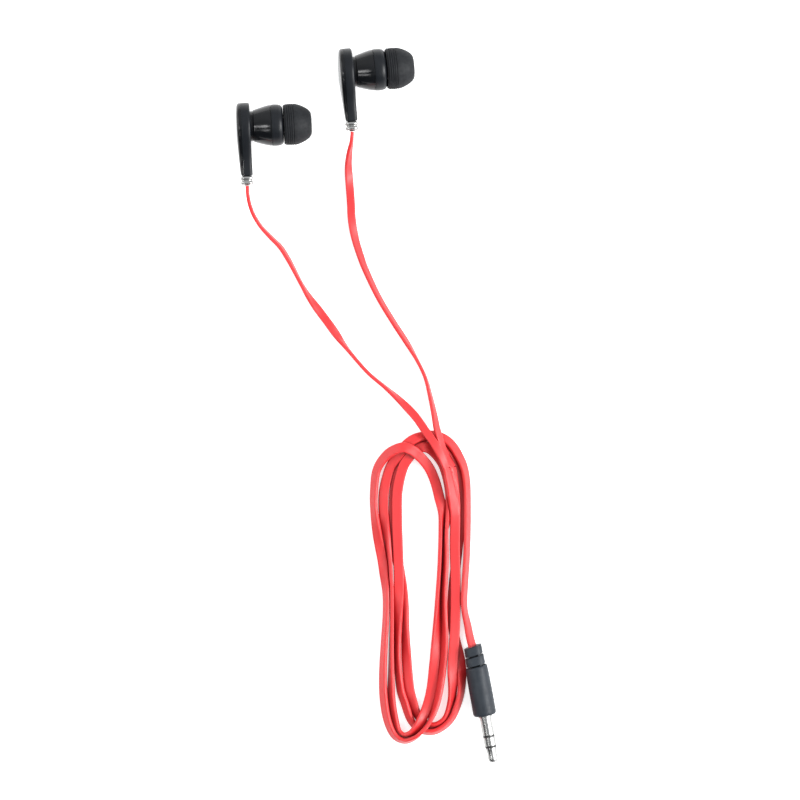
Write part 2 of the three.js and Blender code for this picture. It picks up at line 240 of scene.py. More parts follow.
def plain_material(name, low, high, rough, grain, strength):
    """A matt inner part: card, felt, film or bare plastic."""
    n = Nodes(name)
    n.link(n.ramp(n.noise(grain, 4.0), low, high), n.shader.inputs["Base Color"])
    n.link(n.range(n.noise(grain * 2, 3.0), rough - 0.08, rough + 0.08), n.shader.inputs["Roughness"])
    n.bump((n.noise(grain * 3, 3.0), strength, 0.03))
    return n.material


PLUG_ANGLE = math.radians(PLUG_TURN)
MATERIALS = {
    "cord": cord_material(),
    "gloss_shell": gloss_material(),
    "satin_shell": satin_material(),
    "ear_rubber": rubber_material(),
    "plug_moulding": moulding_material(),
    "bright_metal": metal_material(
        "bright_metal", (0.36, 0.36, 0.355), (0.43, 0.43, 0.42), 0.18, 0.30, (0, 0, -PLUG_ANGLE)
    ),
    "steel": metal_material("steel", (0.40, 0.41, 0.42), (0.52, 0.53, 0.54), 0.30, 0.42),
    "copper": metal_material("copper", (0.55, 0.26, 0.12), (0.66, 0.33, 0.16), 0.28, 0.40),
    "board": plain_material("board", (0.035, 0.12, 0.05), (0.05, 0.16, 0.07), 0.5, 900.0, 0.1),
    "felt": plain_material("felt", (0.07, 0.068, 0.062), (0.15, 0.145, 0.135), 0.9, 4000.0, 0.6),
    "film": plain_material("film", (0.42, 0.36, 0.22), (0.52, 0.45, 0.30), 0.35, 1200.0, 0.05),
    "insulation": plain_material(
        "insulation", (0.006, 0.006, 0.007), (0.011, 0.011, 0.012), 0.45, 1500.0, 0.1
    ),
}


# ---- meshes ----
SHARP = 32.0
TURNED_SIDES = 128
CURVE_STEPS = 24


def add_piece(name, points, faces, slot, body="root", replaced=(), placed=None, sharp=SHARP, uvs=None):
    """A new piece from points in millimetres.

    placed is the matrix that puts them in the frame, and edges over sharp degrees aren't smoothed.
    """
    points = np.asarray(points, float)
    if placed is not None:
        matrix = np.array(placed)
        points = points @ matrix[:3, :3].T + matrix[:3, 3]
    mesh = bpy.data.meshes.new(name)
    mesh.from_pydata([tuple(p) for p in points * MM], [], [tuple(f) for f in faces])
    if uvs is not None:
        layer = mesh.uv_layers.new(name="cord")
        layer.data.foreach_set("uv", np.asarray(uvs, np.float32).ravel())
    mesh.polygons.foreach_set("use_smooth", [True] * len(mesh.polygons))
    mesh.set_sharp_from_angle(angle=math.radians(sharp))
    mesh.materials.append(MATERIALS[slot])
    piece = bpy.data.objects.new(name, mesh)
    bpy.context.scene.collection.objects.link(piece)
    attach(piece, body)
    if replaced:
        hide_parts(*replaced)
    return piece


def lofted(rings, closed=True, caps=True):
    """Faces between equal rings of points, one after another; closed joins the last ring to the first."""
    count = len(rings[0])
    points = np.concatenate(rings)
    faces = []
    for i in range(len(rings) if closed else len(rings) - 1):
        a = i * count
        b = (i + 1) % len(rings) * count
        for k in range(count):
            m = (k + 1) % count
            faces.append((a + k, a + m, b + m, b + k))
    if caps and not closed:
        faces.append(tuple(range(count))[::-1])
        last = (len(rings) - 1) * count
        faces.append(tuple(range(last, last + count)))
    return points, faces


def turned(profile, sides=TURNED_SIDES):
    """A closed profile of (radius, distance along X), turned about the X axis. It stays off the axis."""
    angles = np.arange(sides) * 2 * math.pi / sides
    profile = np.array(profile, float)
    area = np.sum(profile[:, 0] * np.roll(profile[:, 1], -1) - np.roll(profile[:, 0], -1) * profile[:, 1])
    if area > 0:
        profile = profile[::-1]
    rings = [
        np.column_stack([profile[:, 1], r * profile[:, 0], s * profile[:, 0]])
        for r, s in zip(np.cos(angles), np.sin(angles))
    ]
    return lofted(rings)


def smooth_line(points, step):
    """A Catmull-Rom curve through points of any dimension, evenly spaced by its first three coordinates."""
    p = np.array(points, float)
    p = np.vstack([2 * p[0] - p[1], p, 2 * p[-1] - p[-2]])
    t = np.linspace(0, 1, CURVE_STEPS, endpoint=False)[:, None]
    pieces = []
    for i in range(1, len(p) - 2):
        a, b, c, d = p[i - 1], p[i], p[i + 1], p[i + 2]
        pieces.append(
            0.5 * (2 * b + (c - a) * t + (2 * a - 5 * b + 4 * c - d) * t**2 + (3 * b - a - 3 * c + d) * t**3)
        )
    fine = np.vstack([*pieces, p[-2][None]])
    along = np.concatenate([[0], np.cumsum(np.linalg.norm(np.diff(fine[:, :3], axis=0), axis=1))])
    count = max(2, round(along[-1] / step) + 1)
    wanted = np.linspace(0, along[-1], count)
    return np.column_stack([np.interp(wanted, along, column) for column in fine.T])


# ---- the cord's layout ----
# Each station is (x, y, layer, lean): its place, how many cords lie under it, and how far the flat cord
# is rolled onto its edge, in degrees, with the edge towards the inside of the hank going up.
CORD_WIDTH = 3.0
CORD_THICKNESS = 1.1
BRANCH_WIDTH = 2.4
BRANCH_THICKNESS = 1.0
JOINT_TOP = (36.2, -102.3)
JOINT_BOTTOM = (37.5, -115.8)
JOINT_TOP_WIDTH = 4.8

# The branches' routes, in metres as in the CAD, from the collars to the Y joint.
LEFT_BRANCH = [
    (-0.02265, -0.0203, 0.00695), (-0.0225, -0.0230, 0.0068), (-0.0220, -0.0258, 0.0057),
    (-0.0209, -0.0287, 0.0038), (-0.0190, -0.0317, 0.0021), (-0.0163, -0.0346, 0.0012),
    (-0.0134, -0.0375, 0.0010), (-0.0113, -0.0407, 0.0010), (-0.0096, -0.0438, 0.0010),
    (-0.0071, -0.0486, 0.0010), (-0.0044, -0.0530, 0.0010), (0.0005, -0.0596, 0.0010),
    (0.0059, -0.0670, 0.0010), (0.0121, -0.0742, 0.0010), (0.0175, -0.0788, 0.0010),
    (0.0220, -0.0828, 0.0014), (0.0260, -0.0870, 0.0034), (0.0289, -0.0910, 0.0051),
    (0.0313, -0.0944, 0.0059), (0.0334, -0.0980, 0.0058), (0.0349, -0.1018, 0.0052),
]
RIGHT_BRANCH = [
    (0.00785, -0.00455, 0.00695), (0.00765, -0.0072, 0.0067), (0.0070, -0.0102, 0.0052),
    (0.0066, -0.0140, 0.0028), (0.0069, -0.0190, 0.0012), (0.0073, -0.0242, 0.0010),
    (0.0076, -0.0296, 0.0010), (0.0085, -0.0348, 0.0010), (0.0100, -0.0398, 0.0010),
    (0.0117, -0.0444, 0.0010), (0.0154, -0.0522, 0.0010), (0.0197, -0.0594, 0.0010),
    (0.0238, -0.0657, 0.0010), (0.0269, -0.0711, 0.0010), (0.0292, -0.0760, 0.0010),
    (0.0306, -0.0813, 0.0014), (0.0317, -0.0864, 0.0032), (0.0326, -0.0912, 0.0045),
    (0.0339, -0.0956, 0.0046), (0.0354, -0.0992, 0.0046), (0.0370, -0.1017, 0.0046),
]
LEFT_LEAN = [90, 90, 88, 86, 84, 77, 72, 72, 76, 80, 55, 0, 78, 86, 80, 50, 5, 0, 5, 15, 30]
RIGHT_LEAN = [90, 86, 72, 50, 15, 0, 10, 35, 45, 55, 62, 64, 66, 86, 84, 75, 62, 50, 46, 44, 42]

# Four turns, clockwise from above: down the right side, round the bottom, up the left and over the top.
TURNS = [
    [
        (37.65, -115.8, 1.2, 8), (37.7, -124.8, 1.0, 0), (38.0, -134.0, 1.0, 0), (38.0, -142.4, 1.0, 0),
        (37.8, -151.7, 1.0, 8), (37.6, -159.1, 1.0, 12), (37.5, -167.2, 0.4, 40), (36.5, -172.5, 0, 56),
        (34.8, -176.2, 0, 58), (31.7, -177.9, 0, 56), (28.8, -177.0, 0, 50), (26.35, -173.8, 0, 36),
        (25.2, -170.2, 0, 24), (24.45, -167.0, 0, 14), (23.75, -159.8, 0, 22), (23.4, -152.6, 0, 46),
        (23.15, -147.0, 0, 48), (22.6, -139.5, 0, 12), (21.7, -133.0, 0, 0), (20.4, -126.3, 0, 0),
        (20.0, -117.5, 0, 0), (20.1, -109.3, 0, 0), (21.8, -102.9, 0, 0), (24.6, -99.1, 0, 0),
        (26.6, -96.0, 0, 10), (29.0, -94.3, 0, 30), (32.5, -94.3, 0, 40), (35.8, -96.3, 0, 30),
        (38.3, -99.7, 0, 20), (39.4, -104.4, 0, 10),
    ],
    [
        (39.3, -115.2, 0, 0), (38.9, -123.0, 0, 0), (38.1, -131.0, 0, 0), (37.3, -139.0, 0, 0),
        (37.15, -145.5, 0, 0), (37.6, -151.7, 0, 6), (39.0, -159.1, 0, 14), (39.4, -167.2, 0, 55),
        (38.3, -172.5, 0, 60), (36.2, -176.7, 0, 62), (32.1, -179.6, 0, 64), (27.7, -179.2, 0, 64),
        (24.85, -176.2, 0, 56), (23.1, -171.3, 0, 52), (21.85, -167.2, 0, 52), (21.05, -159.8, 0, 57),
        (21.0, -152.6, 0, 57), (21.2, -144.4, 0.5, 32), (21.4, -135.1, 1, 0), (21.15, -126.3, 1, 0),
        (20.9, -117.5, 1, 0), (21.0, -109.3, 1, 0), (22.3, -102.9, 1, 0), (23.8, -99.7, 1, 10),
        (26.1, -97.2, 1, 20), (28.9, -95.9, 0.8, 30), (31.7, -97.6, 0, 20), (34.2, -100.9, 0, 5),
        (35.8, -105.2, 0, 0), (36.9, -110.2, 0, 0),
    ],
    [
        (37.0, -115.2, 0, 48), (35.45, -122.0, 0, 100), (35.0, -130.0, 0, 112), (34.6, -139.0, 0, 112),
        (34.65, -145.5, 0, 112), (34.65, -151.7, 0, 122), (34.2, -159.1, 0, 125), (33.1, -167.2, 1.0, 120),
        (31.8, -172.5, 2.2, 112), (29.9, -176.8, 2.75, 95), (27.8, -179.4, 2.7, 86), (25.7, -181.3, 1.7, 74),
        (22.9, -182.3, 0.4, 66), (20.0, -180.7, 0, 58), (17.95, -176.0, 0, 53), (16.9, -169.3, 0, 52),
        (16.75, -162.0, 0, 57), (17.1, -154.1, 0, 63), (17.65, -145.3, 0, 65), (17.65, -139.1, 0, 60),
        (17.2, -134.2, 0, 36), (16.6, -129.4, 0, 12), (15.15, -122.0, 0, 32), (14.15, -114.8, 0, 56),
        (14.1, -109.3, 0, 54), (14.95, -102.9, 0.3, 46), (18.0, -98.4, 1.5, 32), (22.0, -96.3, 3.0, 20),
        (24.8, -96.8, 3.0, 10), (27.3, -98.7, 2.0, 10), (30.0, -101.9, 1.0, 5), (31.9, -106.0, 0.3, 0),
        (33.2, -110.8, 0, 5),
    ],
    [
        (34.3, -115.8, 0, 38), (33.85, -122.0, 0, 75), (33.4, -131.0, 0, 82), (32.9, -139.0, 0, 78),
        (32.8, -145.5, 0, 58), (32.6, -151.7, 0.2, 35), (32.1, -159.1, 0.5, 10), (31.2, -167.2, 1.0, 0),
        (29.8, -172.5, 2.2, 5), (28.1, -176.0, 2.8, 25), (26.9, -178.0, 2.8, 38), (25.5, -179.7, 2.1, 52),
        (24.1, -180.5, 1.2, 62), (22.6, -180.6, 0.5, 64), (21.2, -179.4, 0.1, 62), (20.35, -177.1, 0, 52),
        (19.65, -173.6, 0, 50), (19.15, -169.3, 0, 52), (19.15, -162.0, 0, 70), (19.2, -154.1, 0, 80),
        (19.35, -145.3, 0, 86), (19.35, -138.3, 0, 88), (19.1, -134.2, 0, 86), (18.75, -129.4, 0, 80),
        (17.7, -122.0, 0, 50), (16.95, -115.5, 0, 12), (17.1, -109.3, 0, 12), (18.8, -102.9, 0, 5),
        (21.0, -99.3, 1.0, 5), (23.0, -96.5, 2.0, 10), (25.5, -94.4, 2.0, 30), (28.7, -93.3, 1.2, 50),
        (32.5, -93.3, 1.0, 50), (36.1, -95.2, 1.0, 50), (38.8, -99.0, 1.0, 50),
    ],
]
# The last leg: from the top of the hank down its right side to the plug.
LEG = [
    (40.5, -102.9, 0.7, 58), (41.25, -107.3, 0.3, 60), (41.45, -111.7, 0, 62), (41.5, -117.5, 0, 62),
    (41.4, -123.4, 0, 63), (41.2, -129.2, 0, 64), (40.8, -135.1, 0, 64), (40.5, -140.9, 0, 64),
    (40.7, -144.4, 0, 66), (41.5, -148.2, 0.4, 60), (42.1, -151.4, 1.2, 55),
]
# Where the cord enters the plug, from the plug's start, and its lean there.
ENTRY_SHIFT = (0.05, -0.6)
ENTRY_LEAN = 52
SECTION_STEP = 1.0


def rails(line, lean, half):
    """The two edges of a flat cord that follows line, rolled by lean degrees."""
    along = np.gradient(line, axis=0)
    inward = np.column_stack([along[:, 1], -along[:, 0]])
    inward /= np.linalg.norm(inward, axis=1)[:, None]
    roll = np.radians(lean)
    across = np.column_stack([inward * np.cos(roll)[:, None], np.sin(roll)]) * half[:, None]
    return line - across, line + across


def chain(stations, half_at, thickness):
    """Even sections of a flat cord from its stations of (x, y, z, lean)."""
    line = smooth_line(stations, SECTION_STEP)
    along = np.arange(len(line)) * SECTION_STEP
    half = half_at(along)
    low, high = rails(line[:, :3], line[:, 3], half)
    return {"low": low, "high": high, "half": half, "radius": np.full(len(line), thickness / 2)}


def main_chain():
    """The Y joint, the turns and the last leg in one chain, and how many of its sections are the joint."""
    half = (CORD_WIDTH - CORD_THICKNESS) / 2
    top = (JOINT_TOP_WIDTH - CORD_THICKNESS) / 2
    joint_length = math.dist(JOINT_TOP, JOINT_BOTTOM)
    stations = [(*JOINT_TOP, 2.3, 42), (37.1, -108.5, 2.2, 32)]
    for turn in TURNS + [LEG]:
        stations += list(turn)
    placed = []
    for x, y, layer, lean in stations:
        height = CORD_THICKNESS / 2 + half * abs(math.sin(math.radians(lean)))
        placed.append((x, y, height + CORD_THICKNESS * layer, lean))
    entry = (PLUG_START[0] + ENTRY_SHIFT[0], PLUG_START[1] + ENTRY_SHIFT[1], PLUG_START[2], ENTRY_LEAN)
    placed.append(entry)
    made = chain(placed, lambda s: half + (top - half) * np.clip(1 - s / joint_length, 0, 1), CORD_THICKNESS)
    return made, round(joint_length / SECTION_STEP)


def branch_chain(route, leans):
    """A branch cord that follows its route in metres."""
    stations = [(x / MM, y / MM, z / MM, lean) for (x, y, z), lean in zip(route, leans)]
    half = (BRANCH_WIDTH - BRANCH_THICKNESS) / 2
    return chain(stations, lambda s: np.full(len(s), half), BRANCH_THICKNESS)


ACROSS = np.linspace(0, 1, 5)  # where the five balls of a section lie, from its low edge to its high one
SETTLE_STEPS = 420
LAST_STEPS = 40
PAIRS_EVERY = 10  # steps between two searches for sections that may touch
PAIRS_MARGIN = 1.2
NEIGHBOURS = 5  # sections of one cord this near in order aren't kept apart
SINK = 0.02
DRAW = (0.06, 0.01)  # how strongly a section is drawn to its place, in the first step and in the last
HOLD = (0.25, 0.05)  # the same for its lean
STIFFNESS = 1.0
STRETCH = 0.25
START_SIZE = 0.8  # the balls' size in the first step, as a share of their full size
GROWTH = 0.2
GROW_STEPS = 120
CLEARANCE = 0.05  # how much larger than the cord the balls end, as a share of their size
FLOOR_GAP = 0.05
CROSSING = 0.35  # sine of the angle from which two cords count as crossing


def settle(chains, pinned):
    """Lets the cords rest on each other and on the table.

    Each section of a cord is a row of five balls between its two edges. In each step every section
    sinks a little, is drawn towards its place and its lean in the layout and bends smoothly, and then
    balls that touch push each other apart. The balls start small and grow, so cords pass cleanly.
    """
    low = np.concatenate([c["low"] for c in chains])
    high = np.concatenate([c["high"] for c in chains])
    half = np.concatenate([c["half"] for c in chains])
    radius = np.concatenate([c["radius"] for c in chains])
    starts = np.cumsum([0] + [len(c["low"]) for c in chains])
    spans = list(zip(starts, starts[1:]))
    number = np.repeat(np.arange(len(chains)), np.diff(starts))
    count = len(low)
    order = np.arange(count)
    free = np.ones(count)
    free[pinned] = 0
    home_low, home_high = low.copy(), high.copy()
    home_gap = [np.linalg.norm(np.diff((low + high)[a:b] / 2, axis=0), axis=1) for a, b in spans]
    reach = half + radius

    def contact(size):
        centre = (low + high) / 2
        apart = np.linalg.norm(centre[pairs[0]] - centre[pairs[1]], axis=1)
        near = apart < reach[pairs[0]] + reach[pairs[1]]
        i, j = pairs[0][near], pairs[1][near]
        balls_i = low[i, None] + (high[i] - low[i])[:, None] * ACROSS[:, None]
        balls_j = low[j, None] + (high[j] - low[j])[:, None] * ACROSS[:, None]
        gap = balls_i[:, :, None] - balls_j[:, None]
        tangent = np.vstack([np.gradient(centre[a:b], axis=0) for a, b in spans])
        tangent /= np.linalg.norm(tangent, axis=1)[:, None]
        # Cords that cross part along the normal of both, on the side where their middles already are.
        normal = np.cross(tangent[i], tangent[j])
        turn = np.linalg.norm(normal, axis=1)
        normal /= np.maximum(turn, 1e-6)[:, None]
        normal *= np.where(((centre[i] - centre[j]) * normal).sum(1) < 0, -1, 1)[:, None]
        crossing = (turn > CROSSING)[:, None, None]
        rise = (gap * normal[:, None, None]).sum(-1)
        distance = np.sqrt((gap**2).sum(-1))
        wanted = ((radius[i] + radius[j]) * size)[:, None, None]
        aside = np.maximum(distance**2 - rise**2, 0)
        depth = np.where(crossing, np.sqrt(np.maximum(wanted**2 - aside, 0)) - rise, wanted - distance)
        depth[np.broadcast_to(crossing, depth.shape) & (aside >= wanted**2)] = 0
        p, k, m = np.nonzero(depth > 0)
        if not len(p):
            return
        depth = depth[p, k, m]
        along = gap[p, k, m] / np.maximum(distance[p, k, m], 1e-6)[:, None]
        along = np.where(crossing[p, 0], normal[p], along)
        share = free[i[p]] / np.maximum(free[i[p]] + free[j[p]], 1e-6)
        move = {"low": np.zeros((count, 3)), "high": np.zeros((count, 3))}
        weight = np.full(count, 1e-9)
        for rows, lever, part in ((i[p], ACROSS[k], share), (j[p], ACROSS[m], share - 1)):
            push = along * (depth * part)[:, None]
            push -= (push * tangent[rows]).sum(1)[:, None] * tangent[rows]
            push *= (depth / ((1 - lever) ** 2 + lever**2))[:, None]
            for rail, arm in (("low", 1 - lever), ("high", lever)):
                for axis in range(3):
                    move[rail][:, axis] += np.bincount(rows, push[:, axis] * arm, count)
            weight += np.bincount(rows, depth, count)
        low[:] += move["low"] / weight[:, None] * free[:, None]
        high[:] += move["high"] / weight[:, None] * free[:, None]

    def bend(strength):
        for a, b in spans:
            for rail, home in ((low, home_low), (high, home_high)):
                x = rail[a:b] - home[a:b]
                for stride in (1, 2, 4):
                    second = x[: -2 * stride] - 2 * x[stride:-stride] + x[2 * stride :]
                    fourth = second[: -2 * stride] - 2 * second[stride:-stride] + second[2 * stride :]
                    inner = slice(2 * stride, -2 * stride)
                    x[inner] -= fourth * (strength / 16) * free[a:b][inner, None]
                rail[a:b] = home[a:b] + x

    def hold(lean):
        wrong = (high - low) - (home_high - home_low)
        low[:] += wrong * (lean / 2 * free)[:, None]
        high[:] -= wrong * (lean / 2 * free)[:, None]
        across = high - low
        long = np.linalg.norm(across, axis=1)
        change = across * ((long - 2 * half) / np.maximum(long, 1e-6) / 2 * free)[:, None]
        low[:] += change
        high[:] -= change
        for (a, b), gaps in zip(spans, home_gap):
            step = np.diff((low[a:b] + high[a:b]) / 2, axis=0)
            long = np.linalg.norm(step, axis=1)
            pull = step * ((long - gaps) / np.maximum(long, 1e-6))[:, None] * STRETCH
            move = np.zeros((b - a, 3))
            move[:-1] += pull
            move[1:] -= pull
            move *= free[a:b, None]
            low[a:b] += move
            high[a:b] += move

    for step in range(SETTLE_STEPS + LAST_STEPS):
        if step % PAIRS_EVERY == 0:
            centre = (low + high) / 2
            flat = ((centre[:, None, :] - centre[None]) ** 2).sum(-1)
            bound = (reach[:, None] + reach[None] + PAIRS_MARGIN) ** 2
            other = (number[:, None] != number[None]) | (np.abs(order[:, None] - order[None]) > NEIGHBOURS)
            pairs = np.nonzero(np.triu((flat < bound) & other))
        share = min(1.0, step / SETTLE_STEPS)
        size = (1 + CLEARANCE) * min(1.0, START_SIZE + GROWTH * step / GROW_STEPS)
        sink = SINK * (1 - share)
        low[:, 2] -= sink * free
        high[:, 2] -= sink * free
        draw = DRAW[0] * (1 - share) + DRAW[1] * share
        away = ((home_low + home_high) - (low + high))[:, :2] / 2 * (draw * free)[:, None]
        low[:, :2] += away
        high[:, :2] += away
        bend(STIFFNESS * (1 - 0.6 * share))
        hold(HOLD[0] * (1 - share) + HOLD[1] * share)
        contact(size)
        under = np.maximum(radius + FLOOR_GAP - np.minimum(low[:, 2], high[:, 2]), 0) * free
        low[:, 2] += under
        high[:, 2] += under
    for c, (a, b) in zip(chains, spans):
        c["low"], c["high"] = low[a:b], high[a:b]


CORNER_SHARE = 0.30
GROOVE_WIDTH = 0.22


def cord_outline(width, thickness, groove_at=0.0, groove=0.0, top=6):
    """A flat cord's section: a rectangle with round corners, and a groove along its upper face."""
    corner = CORNER_SHARE * thickness
    points = []
    centres = [(1, 1), (-1, 1), (-1, -1), (1, -1)]
    for quarter, (sx, sy) in enumerate(centres):
        for k in range(4):
            angle = math.radians(90 * quarter + 30 * k)
            x = sx * (width / 2 - corner) + corner * math.cos(angle)
            y = sy * (thickness / 2 - corner) + corner * math.sin(angle)
            points.append((x, y))
        if quarter == 0:
            for k in range(1, top + 1):
                x = (width / 2 - corner) * (1 - 2 * k / (top + 1))
                points.append((x, thickness / 2))
    points = np.array(points)
    upper = points[:, 1] > thickness / 2 - corner * 0.6
    points[upper, 1] -= groove * np.exp(-(((points[upper, 0] - groove_at) / GROOVE_WIDTH) ** 2))
    return points


def sweep(low, high, outlines, fine=2):
    """A cord through its two edges, with fine rings for each section. Gives points, faces, path and uvs."""
    count = len(low)
    wanted = np.linspace(0, count - 1, (count - 1) * fine + 1)
    both = np.hstack([low, high])
    padded = np.vstack([2 * both[0] - both[1], both, 2 * both[-1] - both[-2]])
    i = np.minimum(wanted.astype(int), count - 2)
    t = (wanted - i)[:, None]
    a, b, c, d = padded[i], padded[i + 1], padded[i + 2], padded[np.minimum(i + 3, count + 1)]
    both = 0.5 * (2 * b + (c - a) * t + (2 * a - 5 * b + 4 * c - d) * t**2 + (3 * b - a - 3 * c + d) * t**3)
    low, high = both[:, :3], both[:, 3:]
    centre = (low + high) / 2
    along = np.gradient(centre, axis=0)
    along /= np.linalg.norm(along, axis=1)[:, None]
    across = high - low
    across -= (across * along).sum(1)[:, None] * along
    across /= np.linalg.norm(across, axis=1)[:, None]
    up = np.cross(along, across)
    up = np.where(np.median(up[:, 2]) < 0, -1, 1) * up
    rings = []
    for k in range(len(centre)):
        outline = outlines(wanted[k])
        rings.append(centre[k] + outline[:, :1] * across[k] + outline[:, 1:] * up[k])
    flip = np.dot(np.cross(across[0], up[0]), along[0]) < 0
    if flip:
        rings = [ring[::-1] for ring in rings]
    points, faces = lofted(rings, closed=False)
    around = len(rings[0])
    distance = np.concatenate([[0], np.cumsum(np.linalg.norm(np.diff(centre, axis=0), axis=1))])
    uvs = []
    for face in faces:
        ring_of = [v // around for v in face]
        if len(face) == 4:
            first = face[0] % around
            turns = [first, first + 1, first + 1, first]
            uvs += [(turns[q] / around, distance[ring_of[q]]) for q in range(4)]
        else:
            uvs += [(v % around / around, distance[ring_of[0]]) for v in face]
    return points, faces, centre, uvs


MERGE_SECTIONS = 14  # how many sections of a branch bend towards the Y joint


def make_cords():
    """The settled chains of the main cord and both branches, and how many sections are the Y joint."""
    main, joint = main_chain()
    left = branch_chain(LEFT_BRANCH, LEFT_LEAN)
    right = branch_chain(RIGHT_BRANCH, RIGHT_LEAN)
    # The branches end side by side on the top of the Y joint.
    across = (main["high"][0] - main["low"][0]) / np.linalg.norm(main["high"][0] - main["low"][0])
    middle = (main["high"][0] + main["low"][0]) / 2
    for branch, side in ((left, 1), (right, -1)):
        centre = middle + across * side * BRANCH_WIDTH / 2
        from_end = np.arange(len(branch["low"]))[::-1]
        blend = np.clip(1 - from_end / MERGE_SECTIONS, 0, 1) ** 2
        for rail, sign in (("low", -1), ("high", 1)):
            wanted = centre + across * sign * branch["half"][-1]
            branch[rail] += blend[:, None] * (wanted - branch[rail][-1])
    # Two sections at each end of each cord stay where they are.
    starts = np.cumsum([0, len(main["low"]), len(left["low"]), len(right["low"])])
    pinned = [starts[1] - 1, starts[1] - 2, starts[1], starts[1] + 1, starts[2], starts[2] + 1]
    pinned += [0, 1, starts[2] - 1, starts[2] - 2, starts[3] - 1, starts[3] - 2]
    settle([main, left, right], pinned)
    return main, left, right, joint


main, left, right, joint = make_cords()


JOINT_GROOVE = 0.30


def joint_outline(section):
    """The Y joint narrows from two branches to one cord, and the groove between them runs out to its edge."""
    share = min(1.0, section / joint)
    width = JOINT_TOP_WIDTH + (CORD_WIDTH - JOINT_TOP_WIDTH) * share
    groove_at = -0.1 - share * (width / 2 - 0.3)
    return cord_outline(width, CORD_THICKNESS, groove_at, JOINT_GROOVE * (1 - 0.7 * share), top=16)


def add_cord(name, low, high, outlines, replaced):
    """A cord's piece and the path of its middle."""
    points, faces, centre, uvs = sweep(low, high, outlines)
    piece = add_piece(name, points, faces, "cord", replaced=replaced, uvs=uvs, sharp=60)
    return piece, centre


MAIN_OUTLINE = cord_outline(CORD_WIDTH, CORD_THICKNESS)
BRANCH_OUTLINE = cord_outline(BRANCH_WIDTH, BRANCH_THICKNESS)
y_joint, _ = add_cord(
    "y_joint_moulding", main["low"][: joint + 1], main["high"][: joint + 1], joint_outline, ["y_joint"]
)
main_cord, main_line = add_cord(
    "main_cord", main["low"][joint:], main["high"][joint:], lambda section: MAIN_OUTLINE,
    ["cord_hank", "last_leg_cord"],
)
left_cord, left_line = add_cord(
    "left_cord", left["low"], left["high"], lambda section: BRANCH_OUTLINE, ["left_branch_cord"]
)
right_cord, right_line = add_cord(
    "right_cord", right["low"], right["high"], lambda section: BRANCH_OUTLINE, ["right_branch_cord"]
)


# ---- earbuds ----
BUD_AXIS = Matrix.Rotation(LEAN, 4, "Y")
HEAD_STEPS = 72
STEM_STEPS = 30
CURVE_REACH = 5.5
COLLAR_LENGTH = 2.45
COLLAR_SIDES = 64
BEAD_LENGTH = 1.12
BEAD_EDGE = 1.38
BEAD_RISE = 0.52
BEAD_ARC = 1.4


def paddle_outline(inset):
    """The paddle's edge as points of (y, z), from the stem's foot up one side, round and down the other."""
    radius = PADDLE_RADIUS - inset
    half = STEM_HALF_WIDTH - inset
    foot = STEM_END + inset
    waist = (radius * math.cos(WAIST_ANGLE), radius * math.sin(WAIST_ANGLE))
    t = np.linspace(0, 1, STEM_STEPS, endpoint=False)[:, None]
    control = np.array(
        [(half, foot), (half + 0.2, foot + CURVE_REACH), (waist[0] - 1.0, waist[1] - 3.2), waist]
    )
    side = (
        (1 - t) ** 3 * control[0] + 3 * (1 - t) ** 2 * t * control[1]
        + 3 * (1 - t) * t**2 * control[2] + t**3 * control[3]
    )
    angles = np.linspace(WAIST_ANGLE, math.pi / 2, HEAD_STEPS // 2)
    head = np.column_stack([radius * np.cos(angles), radius * np.sin(angles)])
    right = np.vstack([side, head])
    left = right[:-1][::-1] * (-1, 1)
    outline = np.vstack([right, left])
    return outline[:, ::-1]


def paddle_plate(levels):
    """A plate with the paddle's outline. Each level is (inset, x at the head, x at the foot, bow between)."""
    rings = []
    for inset, head, foot, *bowed in levels:
        bow = bowed[0] if bowed else 0.0
        edge = paddle_outline(inset)
        share = np.clip((edge[:, 0] - STEM_END) / (PADDLE_RADIUS - STEM_END), 0, 1)
        x = foot + (head - foot) * np.sin(share * math.pi / 2) - bow * np.sin(share * math.pi)
        rings.append(np.column_stack([x, edge]))
    points, faces = lofted(rings, closed=False, caps=False)
    count = len(rings[0])
    for ring, flip in ((0, True), (len(rings) - 1, False)):
        first = ring * count
        for k in range(count // 2):
            corners = [first + k, first + k + 1, first + count - 2 - k, first + count - 1 - k]
            corners = list(dict.fromkeys(corners))
            faces.append(tuple(corners[::-1] if flip else corners))
    return points, faces


def box_of(low, high):
    """A box between two corners."""
    points = [(x, y, z) for x in (low[0], high[0]) for y in (low[1], high[1]) for z in (low[2], high[2])]
    return points, [(0, 1, 3, 2), (4, 6, 7, 5), (0, 4, 5, 1), (2, 3, 7, 6), (0, 2, 6, 4), (1, 5, 7, 3)]


def cut(piece, tools, placed):
    """Takes each tool's shape out of the piece."""
    for points, faces in tools:
        points = np.asarray(points, float) @ np.array(placed)[:3, :3].T + np.array(placed)[:3, 3]
        mesh = bpy.data.meshes.new("tool")
        mesh.from_pydata([tuple(q) for q in points * MM], [], [tuple(f) for f in faces])
        mesh.validate()
        tool = bpy.data.objects.new("tool", mesh)
        bpy.context.scene.collection.objects.link(tool)
        modifier = piece.modifiers.new("cut", "BOOLEAN")
        modifier.operation = "DIFFERENCE"
        modifier.solver = "EXACT"
        modifier.object = tool
        bpy.context.view_layer.update()
        cut_mesh = bpy.data.meshes.new_from_object(piece.evaluated_get(bpy.context.evaluated_depsgraph_get()))
        piece.modifiers.remove(modifier)
        cut_mesh.name = piece.name
        piece.data = cut_mesh
        bpy.data.objects.remove(tool)
    piece.data.polygons.foreach_set("use_smooth", [True] * len(piece.data.polygons))
    piece.data.set_sharp_from_angle(angle=math.radians(SHARP))


def rounded(points, step=0.25):
    """A smooth curve through part of a turned profile."""
    line = smooth_line([(r, x, 0.0) for r, x in points], step)
    return [(r, x) for r, x, _ in line]


